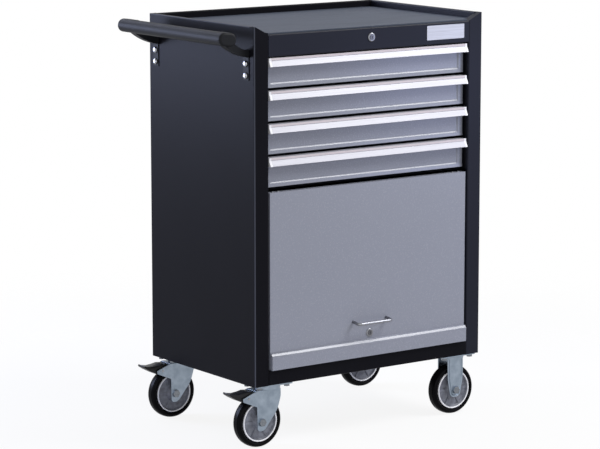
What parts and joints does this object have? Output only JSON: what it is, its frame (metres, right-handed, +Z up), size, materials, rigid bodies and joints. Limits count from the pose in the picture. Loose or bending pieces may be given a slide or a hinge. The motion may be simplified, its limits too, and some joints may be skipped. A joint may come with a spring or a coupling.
{
  "type": "rolling tool chest",
  "caption": "Sheet-steel tool chest on casters with drawers on telescopic slides, a flap-door compartment below, a matted top tray and a side push handle.",
  "frame": {"origin": "middle of the object's box at floor level, under the wheels", "axes": "+X to the right of someone facing the drawers, +Y from the front to the back, +Z up"},
  "size_m": [0.7764, 0.4735, 1.005],
  "materials": {
    "black_powder_coat": "satin black powder coat",
    "grey_powder_coat": "satin grey powder coat",
    "bright_aluminium": "satin anodised",
    "mat_rubber": "matt grey",
    "zinc_plate": "bright zinc plate",
    "chrome_plate": "polished",
    "label_plate": "bare satin plate",
    "black_moulding": "matt black moulding",
    "grey_moulding": "matt grey moulding",
    "tyre_rubber": "matt black rubber"
  },
  "bodies": {
    "cabinet": {"left_side_panel": "black_powder_coat", "right_side_panel": "black_powder_coat", "back_panel": "black_powder_coat", "bottom_pan": "black_powder_coat", "front_fascia": "black_powder_coat", "top_tray": "black_powder_coat", "top_mat": "mat_rubber", "divider_shelf": "black_powder_coat", "slide_uprights": "zinc_plate", "cabinet_slides": "zinc_plate", "door_guides": "zinc_plate", "nameplate": "label_plate", "handle_tube": "black_powder_coat", "handle_brackets": "black_moulding", "handle_bolts": "chrome_plate", "top_lock_housing": "chrome_plate", "fixed_forks": "zinc_plate", "swivel_plates": "zinc_plate", "caster_bolts": "zinc_plate"},
    "drawer_1": {"drawer_body_1": "grey_powder_coat", "drawer_pull_1": "bright_aluminium", "drawer_slides_1": "zinc_plate"},
    "runner_1": {"slide_runner_1": "zinc_plate"},
    "drawer_2": {"drawer_body_2": "grey_powder_coat", "drawer_pull_2": "bright_aluminium", "drawer_slides_2": "zinc_plate"},
    "runner_2": {"slide_runner_2": "zinc_plate"},
    "drawer_3": {"drawer_body_3": "grey_powder_coat", "drawer_pull_3": "bright_aluminium", "drawer_slides_3": "zinc_plate"},
    "runner_3": {"slide_runner_3": "zinc_plate"},
    "drawer_4": {"drawer_body_4": "grey_powder_coat", "drawer_pull_4": "bright_aluminium", "drawer_slides_4": "zinc_plate"},
    "runner_4": {"slide_runner_4": "zinc_plate"},
    "door_carriage": {"guide_shoes": "black_moulding"},
    "door": {"door_panel": "grey_powder_coat", "door_pivots": "zinc_plate", "door_screws": "chrome_plate", "door_bow_pull": "chrome_plate", "door_lock_housing": "chrome_plate"},
    "door_lock": {"door_lock_cylinder": "chrome_plate", "door_lock_cam": "zinc_plate"},
    "top_lock": {"top_lock_cylinder": "chrome_plate", "lock_rod": "zinc_plate"},
    "lock_bar": {"lock_bar": "zinc_plate"},
    "swivel_front": {"swivel_fork_front": "zinc_plate", "swivel_axle_bolt_front": "zinc_plate"},
    "pedal_front": {"brake_pedal_front": "black_moulding"},
    "wheel_left_front": {"hub_left_front": "grey_moulding", "tyre_left_front": "tyre_rubber"},
    "wheel_right_front": {"hub_right_front": "grey_moulding", "tyre_right_front": "tyre_rubber"},
    "swivel_rear": {"swivel_fork_rear": "zinc_plate", "swivel_axle_bolt_rear": "zinc_plate"},
    "pedal_rear": {"brake_pedal_rear": "black_moulding"},
    "wheel_left_rear": {"hub_left_rear": "grey_moulding", "tyre_left_rear": "tyre_rubber"},
    "wheel_right_rear": {"hub_right_rear": "grey_moulding", "tyre_right_rear": "tyre_rubber"}
  },
  "joints": [
    {"name": "drawer_1_slide", "type": "slide", "parent": "cabinet", "child": "drawer_1", "axis": [0, -1, 0], "range_m": [0, 0.36]},
    {"name": "runner_1_slide", "type": "slide", "parent": "cabinet", "child": "runner_1", "axis": [0, -1, 0], "range_m": [0, 0.18]},
    {"name": "drawer_2_slide", "type": "slide", "parent": "cabinet", "child": "drawer_2", "axis": [0, -1, 0], "range_m": [0, 0.36]},
    {"name": "runner_2_slide", "type": "slide", "parent": "cabinet", "child": "runner_2", "axis": [0, -1, 0], "range_m": [0, 0.18]},
    {"name": "drawer_3_slide", "type": "slide", "parent": "cabinet", "child": "drawer_3", "axis": [0, -1, 0], "range_m": [0, 0.36]},
    {"name": "runner_3_slide", "type": "slide", "parent": "cabinet", "child": "runner_3", "axis": [0, -1, 0], "range_m": [0, 0.18]},
    {"name": "drawer_4_slide", "type": "slide", "parent": "cabinet", "child": "drawer_4", "axis": [0, -1, 0], "range_m": [0, 0.36]},
    {"name": "runner_4_slide", "type": "slide", "parent": "cabinet", "child": "runner_4", "axis": [0, -1, 0], "range_m": [0, 0.18]},
    {"name": "door_slide_in", "type": "slide", "parent": "cabinet", "child": "door_carriage", "axis": [0, 1, 0], "range_m": [0, 0.28]},
    {"name": "door_flap", "type": "hinge", "parent": "door_carriage", "child": "door", "pos_m": [0.04575, -0.19825, 0.585], "axis": [-1, 0, 0], "range_deg": [0, 90]},
    {"name": "door_lock_turn", "type": "hinge", "parent": "door", "child": "door_lock", "pos_m": [0.04575, -0.20825, 0.245], "axis": [0, 1, 0], "range_deg": [0, 90]},
    {"name": "top_lock_turn", "type": "hinge", "parent": "cabinet", "child": "top_lock", "pos_m": [0.04575, -0.21125, 0.963], "axis": [0, -1, 0], "range_deg": [0, 90]},
    {"name": "lock_bar_lift", "type": "slide", "parent": "cabinet", "child": "lock_bar", "axis": [0, 0, 1], "range_m": [0, 0.012]},
    {"name": "swivel_front_turn", "type": "hinge", "parent": "cabinet", "child": "swivel_front", "pos_m": [-0.23425, -0.17425, 0.1407], "axis": [0, 0, 1], "continuous": true},
    {"name": "pedal_front_press", "type": "hinge", "parent": "swivel_front", "child": "pedal_front", "pos_m": [-0.30025, -0.17425, 0.124], "axis": [0, -1, 0], "range_deg": [0, 12]},
    {"name": "wheel_left_front_spin", "type": "hinge", "parent": "swivel_front", "child": "wheel_left_front", "pos_m": [-0.26325, -0.17425, 0.0625], "axis": [0, 1, 0], "continuous": true},
    {"name": "wheel_right_front_spin", "type": "hinge", "parent": "cabinet", "child": "wheel_right_front", "pos_m": [0.32575, -0.17425, 0.0625], "axis": [0, 1, 0], "continuous": true},
    {"name": "swivel_rear_turn", "type": "hinge", "parent": "cabinet", "child": "swivel_rear", "pos_m": [-0.23425, 0.19975, 0.1407], "axis": [0, 0, 1], "continuous": true},
    {"name": "pedal_rear_press", "type": "hinge", "parent": "swivel_rear", "child": "pedal_rear", "pos_m": [-0.30025, 0.19975, 0.124], "axis": [0, -1, 0], "range_deg": [0, 12]},
    {"name": "wheel_left_rear_spin", "type": "hinge", "parent": "swivel_rear", "child": "wheel_left_rear", "pos_m": [-0.26325, 0.19975, 0.0625], "axis": [0, 1, 0], "continuous": true},
    {"name": "wheel_right_rear_spin", "type": "hinge", "parent": "cabinet", "child": "wheel_right_rear", "pos_m": [0.32575, 0.19975, 0.0625], "axis": [0, 1, 0], "continuous": true}
  ],
  "couplings": [
    {"joint": "runner_1_slide", "follows": "drawer_1_slide", "ratio": 0.5},
    {"joint": "runner_2_slide", "follows": "drawer_2_slide", "ratio": 0.5},
    {"joint": "runner_3_slide", "follows": "drawer_3_slide", "ratio": 0.5},
    {"joint": "runner_4_slide", "follows": "drawer_4_slide", "ratio": 0.5},
    {"joint": "top_lock_turn", "follows": "lock_bar_lift", "rad_per_m": 130.89}
  ]
}
